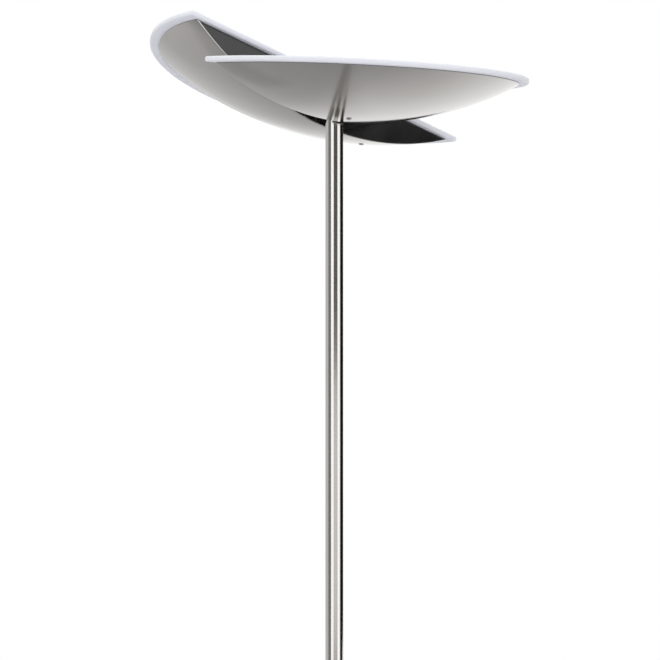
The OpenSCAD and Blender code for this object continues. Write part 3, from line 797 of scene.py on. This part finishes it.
def base_cover():
    """Spun cover with a rolled edge, bored for bolt, cable, button and cord inlet."""
    low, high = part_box("base_cover")
    radius = high.x
    outline = [
        (BOLT_HOLE_R, high.z), (radius, high.z), (radius, low.z), (radius - COVER_SHEET, low.z),
        (radius - COVER_SHEET, high.z - COVER_SHEET), (BOLT_HOLE_R, high.z - COVER_SHEET),
    ]
    piece = turned("spun_cover", outline, steps=192)

    def corner(at_radius, height):
        def wanted(edge):
            ends = [vertex.co for vertex in edge.verts]
            return all(
                abs(p.z - height) < RUN_FIT and abs(math.hypot(p.x, p.y) - at_radius) < RUN_FIT
                for p in ends
            )
        return wanted

    with editing(piece):
        pick(piece, "EDGE", corner(radius, high.z))
        bpy.ops.mesh.bevel(offset=COVER_EDGE, segments=10, affect="EDGES")
        pick(piece, "EDGE", corner(radius - COVER_SHEET, high.z - COVER_SHEET))
        bpy.ops.mesh.bevel(offset=COVER_EDGE - COVER_SHEET, segments=8, affect="EDGES")
        close_up()
    inlet_z = middle("cord_bush").z
    button_y = middle("foot_button").y
    drill(piece, (0, CABLE_Y, high.z), (0, 0, 1), CABLE_HOLE_R, DRILL_L, sides=32)
    drill(piece, (0, button_y, high.z), (0, 0, 1), BUTTON_HOLE_R, DRILL_L, sides=96)
    drill(piece, (0, radius, inlet_z), (0, 1, 0), BUSH_R + RUN_FIT, 2 * DRILL_L)
    soften(piece, 0.2 * mm, segments=2)
    fit(piece, "stand", "satin_nickel", "base_cover", look="spun_nickel")


def button_cap(place):
    """Hollow cap with a chamfered edge, three grip rings on top and a lip at its foot."""
    low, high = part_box("foot_button")
    groove = 0.35 * mm
    chamfer = 1.5 * mm
    lip_t = 1.5 * mm
    wall = 2 * mm
    outline = [(0, high.z)]
    for radius in (3.5 * mm, 6 * mm, 8.5 * mm):
        outline += [
            (radius - groove, high.z), (radius, high.z - groove), (radius + groove, high.z),
        ]
    outline += [
        (BUTTON_R - chamfer, high.z), (BUTTON_R, high.z - chamfer), (BUTTON_R, low.z + lip_t),
        (high.x, low.z + lip_t), (high.x, low.z), (BUTTON_R - wall, low.z),
        (BUTTON_R - wall, high.z - wall), (0, high.z - wall),
    ]
    cap = turned("button_cap", outline, steps=96)
    soften(cap, 0.2 * mm, segments=2, corner=25)
    set_in(cap, place)
    fit(cap, "button", "satin_nickel", "foot_button", look="button_nickel")


def switch_board():
    """Green board under the button, all that stands on it black."""
    board = dressed("button_board", "button_switch", 0.2 * mm)
    board_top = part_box("button_spring")[0].z
    for slot in ("board_green", "switch_black"):
        board.data.materials.append(FINISHES[slot])
    with editing(board):
        pick(board, "FACE", lambda face: face.calc_center_median().z > board_top + RUN_FIT)
        board.active_material_index = 1
        bpy.ops.object.material_slot_assign()
    fit(board, "stand", "board_green", "button_switch")


def button_ring(place):
    """Ring that the cap runs in: a tube through the cover with a flange on top."""
    low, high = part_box("button_bezel")
    cover_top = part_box("base_cover")[1].z
    inner = BUTTON_R + 0.1 * mm
    tube_r = inner + 1 * mm
    outline = [
        (inner, low.z), (tube_r, low.z), (tube_r, cover_top), (high.x, cover_top),
        (high.x, high.z), (inner, high.z),
    ]
    bezel = turned("button_ring", outline, steps=96)
    soften(bezel, 0.4 * mm)
    set_in(bezel, place)
    fit(bezel, "stand", "satin_nickel", "button_bezel", look="button_nickel")


def spring(place):
    """Wound spring under the button: a round wire swept up in turns."""
    low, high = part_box("button_spring")
    wire_r = 0.55 * mm
    turns = 6
    climb = (high.z - low.z - 2 * wire_r) / turns
    piece = start(
        "button_coil", bpy.ops.mesh.primitive_circle_add,
        vertices=10, radius=wire_r, fill_type="NGON",
        location=(high.x - wire_r, 0, low.z + wire_r), rotation=(math.pi / 2, 0, 0),
    )
    with editing(piece):
        bpy.ops.mesh.delete(type="ONLY_FACE")
    apply_new(piece, "SCREW", screw_offset=climb, iterations=turns, steps=32, render_steps=32)
    with editing(piece):
        bpy.ops.mesh.select_non_manifold()
        bpy.ops.mesh.edge_face_add()
        close_up()
    soften(piece, 0)
    set_in(piece, place)
    fit(piece, "stand", "plain_steel", "button_spring")
    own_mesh(piece)


def foot_button():
    """Cap, switch board, spring and ring."""
    place = Matrix.Translation((0, middle("foot_button").y, 0))
    button_cap(place)
    switch_board()
    spring(place)
    button_ring(place)


def foot_pad():
    """Round rubber pad that the base stands on."""
    low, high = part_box("floor_pad")
    outline = [(0, low.z), (high.x, low.z), (high.x, high.z), (0, high.z)]
    pad = turned("foot_pad", outline, steps=192)
    soften(pad, 0.4 * mm)
    fit(pad, "stand", "pad_rubber", "floor_pad")


def inlet_bush():
    """Rubber bush in the edge of the cover, its flange outside."""
    low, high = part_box("cord_bush")
    flange = 1.5 * mm
    bore = BUSH_R - 2 * mm
    rib = 0.6 * mm
    length = high.y - low.y
    outline = [(bore, 0), (BUSH_R, 0), (BUSH_R, length - flange), (high.x, length - flange)]
    outline += [(high.x, length), (bore + rib, length), (bore, length - rib)]
    bush = turned("inlet_bush", outline, steps=64)
    soften(bush, 0.3 * mm)
    seat = Matrix.Translation((0, low.y, middle("cord_bush").z))
    set_in(bush, seat @ Matrix.Rotation(-math.pi / 2, 4, "X"))
    fit(bush, "stand", "seal_rubber", "cord_bush")


def base():
    """Cover, pad, cord inlet, weight, the bolt that holds the pole, and driver."""
    base_cover()
    foot_pad()
    inlet_bush()
    fit_dressed([
        ("iron_weight", "base_weight", "weight_iron", 0.8),
        ("pole_bolt", "base_bolt", "plain_steel", 0.4),
        ("pole_washer", "bolt_washer", "plain_steel", 0.2),
        ("driver_case", "led_driver", "white_plastic", 1.2),
    ])
    paint_node("switch_lead", "white_plastic")


head()
light_tray()
hinge()
pole()
base()
foot_button()


# Studio: pale floor that fades into a white surround, soft boxes, and screens that only gloss sees
FLOOR_R = 15.0
FLOOR_Z = -0.5 * mm
FLOOR_GREY = (0.78, 0.78, 0.78, 1)
FLOOR_WHITENS = (1.5, 9.0)
SURROUND_LIGHT = 0.8
# Floor as gloss sees it, painted light and shade that shows only in reflections: where its left
# side turns into its right, then pairs for left and right
SIDE_BLEND = (-0.2, 0.07)
FAR_LEVEL = (0.7, 1.0)
NEAR_DIP = (0.5, 0.7)
DIP_SPREAD = (12.2, 3.6)
# A patch of painted shade on its left: where it begins and ends outwards and sideways, and its
# depth
PATCH_BEGINS = (1.5, 1.9)
PATCH_ENDS = (2.35, 2.65)
PATCH_SIDE = (-0.33, -0.25)
PATCH_DEPTH = 0.16
# Painted bands of light and shade where boxes and screens would leave them: turn and level of each,
# and how far out they fade in
FLOOR_BANDS = [
    (-150, 1), (-140, 1.1), (-130, 1.2), (-118, 0.6), (-90, 0.7), (-70, 1.1), (-50, 2), (-32, 1.7),
    (-14, 0.4), (14, 0.25), (30, 1), (48, 1.4), (66, 1), (84, 0.25), (120, 0.25), (150, 1),
]
BANDS_FADE_IN = (1.1, 2.6)
# Soft boxes that gloss sees: turn, distance, height, width, height of the box, glow
SIDE_BOXES = {
    "left_box": (-26, 3.4, 1.9, 2.1, 2.8, 0.5),
    "right_box": (57, 3.4, 1.9, 1.9, 2.8, 0.5),
}
BOX_AIM_Z = 1.2
TOP_BOX_AT = (-0.6, -0.4, 4.2)
TOP_BOX_SIDE = 1.6
TOP_BOX_GLOW = 2.0
# Screens: first and last turn, distance, bottom, top, grey
SCREENS = {
    "left_screen": ((-83, -43), 3.0, 0.0, 2.4, 0.24),
    "middle_screen": ((-9, 41), 3.0, 1.486, 2.6, 0.12),
    "lower_screen": ((-9, 41), 3.0, 0.86, 1.486, 0.84),
    "foot_screen": ((-9, 41), 3.0, 0.0, 0.86, 0.15),
    "right_screen": ((80, 120), 1.6, 0.85, 2.02, 0.01),
    "far_right_screen": ((120, 153), 3.0, 0.93, 2.1, 0.01),
    "left_surround": ((-176, -83), 12.0, 0.0, 6.0, 0.7),
}


def calc(tree, operation, *terms):
    """One step of arithmetic on numbers and sockets."""
    node = tree.nodes.new("ShaderNodeMath")
    node.operation = operation
    for socket, term in zip(node.inputs, terms):
        if isinstance(term, float):
            socket.default_value = term
        else:
            tree.links.new(term, socket)
    return node.outputs[0]


def between(tree, value, given, wanted, soft=False):
    """Turns a value between the given two numbers into one between the wanted two."""
    node = tree.nodes.new("ShaderNodeMapRange")
    if soft:
        node.interpolation_type = "SMOOTHSTEP"
    node.inputs["From Min"].default_value, node.inputs["From Max"].default_value = given
    node.inputs["To Min"].default_value, node.inputs["To Max"].default_value = wanted
    tree.links.new(value, node.inputs["Value"])
    return node.outputs["Result"]


def seen(tree):
    """1 for rays that come from the camera or from gloss and glass, 0 for the rest."""
    path = tree.nodes.new("ShaderNodeLightPath").outputs
    either = calc(tree, "MAXIMUM", path["Is Camera Ray"], path["Is Glossy Ray"])
    return calc(tree, "MAXIMUM", either, path["Is Transmission Ray"])


def surround():
    """White all round to the eye and to gloss, and a little less as light."""
    world = bpy.data.worlds.new("surround")
    scene.world = world
    world.use_nodes = True
    tree = world.node_tree
    background = tree.nodes["Background"]
    background.inputs["Color"].default_value = (1, 1, 1, 1)
    level = between(tree, seen(tree), (0, 1), (SURROUND_LIGHT, 1))
    tree.links.new(level, background.inputs["Strength"])


def along(tree, place, turn):
    """How far a place lies out in the direction of a turn."""
    node = tree.nodes.new("ShaderNodeVectorMath")
    node.operation = "DOT_PRODUCT"
    node.inputs[1].default_value = spot(turn, 1, 0)
    tree.links.new(place, node.inputs[0])
    return node.outputs["Value"]


def floor_bands(tree, place, reach):
    """Painted bands of light and shade on the floor round the lamp, fading in away from it.

    The ramp holds half of each level, for a colour stop ends at 1.
    """
    turn = calc(tree, "ARCTAN2", along(tree, place, 90), along(tree, place, 0))
    ramp = tree.nodes.new("ShaderNodeValToRGB")
    stops = ramp.color_ramp.elements
    while len(stops) < len(FLOOR_BANDS):
        stops.new(0.5)
    for stop, (band, level) in zip(stops, FLOOR_BANDS):
        stop.position = (band + 180) / 360
        stop.color = (level / 2, level / 2, level / 2, 1)
    tree.links.new(between(tree, turn, (-math.pi, math.pi), (0, 1)), ramp.inputs[0])
    change = calc(tree, "SUBTRACT", calc(tree, "MULTIPLY", ramp.outputs["Color"], 2.0), 1.0)
    share = between(tree, reach, BANDS_FADE_IN, (0, 1), soft=True)
    return calc(tree, "ADD", 1.0, calc(tree, "MULTIPLY", share, change))


def left_painted_shade(tree, side, reach):
    """A slightly darker patch of the floor on the left, about two metres out: painted shade."""
    begins = between(tree, reach, PATCH_BEGINS, (0, 1), soft=True)
    ends = between(tree, reach, PATCH_ENDS, (1, 0), soft=True)
    left = between(tree, side, PATCH_SIDE, (PATCH_DEPTH, 0), soft=True)
    ring = calc(tree, "MULTIPLY", begins, ends)
    return calc(tree, "SUBTRACT", 1.0, calc(tree, "MULTIPLY", ring, left))


def painted_floor_for_gloss(tree, place, reach):
    """How bright gloss sees the floor, as painted light and shade: dim under the lamp, rising
    outwards, lower on the left.
    """
    side = calc(tree, "DIVIDE", along(tree, place, 90), reach)
    right = between(tree, side, SIDE_BLEND, (0, 1), soft=True)
    top = between(tree, right, (0, 1), FAR_LEVEL)
    dip = between(tree, right, (0, 1), NEAR_DIP)
    spread = between(tree, right, (0, 1), DIP_SPREAD)
    out = calc(tree, "ADD", spread, calc(tree, "MULTIPLY", reach, reach))
    low = calc(tree, "MULTIPLY", dip, calc(tree, "DIVIDE", spread, out))
    level = calc(tree, "MULTIPLY", top, calc(tree, "SUBTRACT", 1.0, low))
    level = calc(tree, "MULTIPLY", level, left_painted_shade(tree, side, reach))
    return calc(tree, "MULTIPLY", level, floor_bands(tree, place, reach))


def floor():
    """A round pale floor that turns white far from the lamp; gloss sees painted light and shade on
    it instead.
    """
    disc = start(
        "floor", bpy.ops.mesh.primitive_circle_add,
        vertices=128, radius=FLOOR_R, fill_type="NGON", location=(0, 0, FLOOR_Z),
    )
    material = bpy.data.materials.new("floor")
    material.use_nodes = True
    tree = material.node_tree
    shader = tree.nodes["Principled BSDF"]
    shader.inputs["Base Color"].default_value = FLOOR_GREY
    shader.inputs["Roughness"].default_value = 0.9
    place = tree.nodes.new("ShaderNodeTexCoord").outputs["Object"]
    length = tree.nodes.new("ShaderNodeVectorMath")
    length.operation = "LENGTH"
    tree.links.new(place, length.inputs[0])
    reach = length.outputs["Value"]
    path = tree.nodes.new("ShaderNodeLightPath").outputs
    gloss = path["Is Glossy Ray"]
    far = between(tree, reach, FLOOR_WHITENS, (0, 1), soft=True)
    share = calc(tree, "MAXIMUM", calc(tree, "MULTIPLY", far, seen(tree)), gloss)
    light = tree.nodes.new("ShaderNodeEmission")
    level = tree.nodes.new("ShaderNodeMix")
    level.inputs[2].default_value = 1
    tree.links.new(gloss, level.inputs[0])
    # Gloss sees the floor's painted light and shade here, not its lit colour
    tree.links.new(painted_floor_for_gloss(tree, place, reach), level.inputs[3])
    tree.links.new(level.outputs[0], light.inputs["Strength"])
    blend = tree.nodes.new("ShaderNodeMixShader")
    tree.links.new(share, blend.inputs[0])
    tree.links.new(shader.outputs[0], blend.inputs[1])
    tree.links.new(light.outputs[0], blend.inputs[2])
    tree.links.new(blend.outputs[0], tree.nodes["Material Output"].inputs["Surface"])
    disc.data.materials.append(material)


def spot(turn, away, height):
    """A place in the studio: turn in degrees to the right of the camera, as seen from the pole."""
    angle = math.radians(VIEW_TURN + turn)
    return Vector((away * math.sin(angle), -away * math.cos(angle), height))


def aim(thing, place, target):
    """Puts a thing at a place with its face, its -Z side, towards the target."""
    thing.location = place
    thing.rotation_euler = (place - target).to_track_quat("Z", "Y").to_euler()


def soft_box(name, place, target, width, height, glow):
    """A soft box whose face has a brightness of glow."""
    light = bpy.data.lights.new(name, "AREA")
    light.shape = "RECTANGLE"
    light.size = width
    light.size_y = height
    light.energy = glow * math.pi * width * height
    box = bpy.data.objects.new(name, light)
    scene.collection.objects.link(box)
    aim(box, place, target)
    box.visible_camera = False
    return box


def screen(name, turns, away, bottom, top, grey):
    """An upright screen between two turns that shows itself in gloss only."""
    half = math.radians(turns[1] - turns[0]) / 2
    place = spot(sum(turns) / 2, away, (bottom + top) / 2)
    sheet = start(name, bpy.ops.mesh.primitive_plane_add, size=1)
    sheet.scale = (2 * away * math.tan(half), top - bottom, 1)
    aim(sheet, place, Vector((0, 0, place.z)))
    material = bpy.data.materials.new(name)
    material.use_nodes = True
    tree = material.node_tree
    glow = tree.nodes.new("ShaderNodeEmission")
    glow.inputs["Color"].default_value = (grey, grey, grey, 1)
    tree.links.new(glow.outputs[0], tree.nodes["Material Output"].inputs["Surface"])
    sheet.data.materials.append(material)
    sheet.visible_camera = False
    sheet.visible_diffuse = False
    sheet.visible_shadow = False
    sheet.visible_transmission = False


def studio():
    """Surround, floor, two side boxes, a box above that gloss doesn't see, and the screens."""
    surround()
    floor()
    target = Vector((0, 0, BOX_AIM_Z))
    for name, (turn, away, up, width, height, glow) in SIDE_BOXES.items():
        soft_box(name, spot(turn, away, up), target, width, height, glow)
    above = Vector(TOP_BOX_AT)
    top = soft_box("top_box", above, Vector((0, 0, 0)), TOP_BOX_SIDE, TOP_BOX_SIDE, TOP_BOX_GLOW)
    top.visible_glossy = False
    for name, (turns, away, bottom, upper, grey) in SCREENS.items():
        screen(name, turns, away, bottom, upper, grey)


studio()
scene.view_settings.view_transform = "Standard"
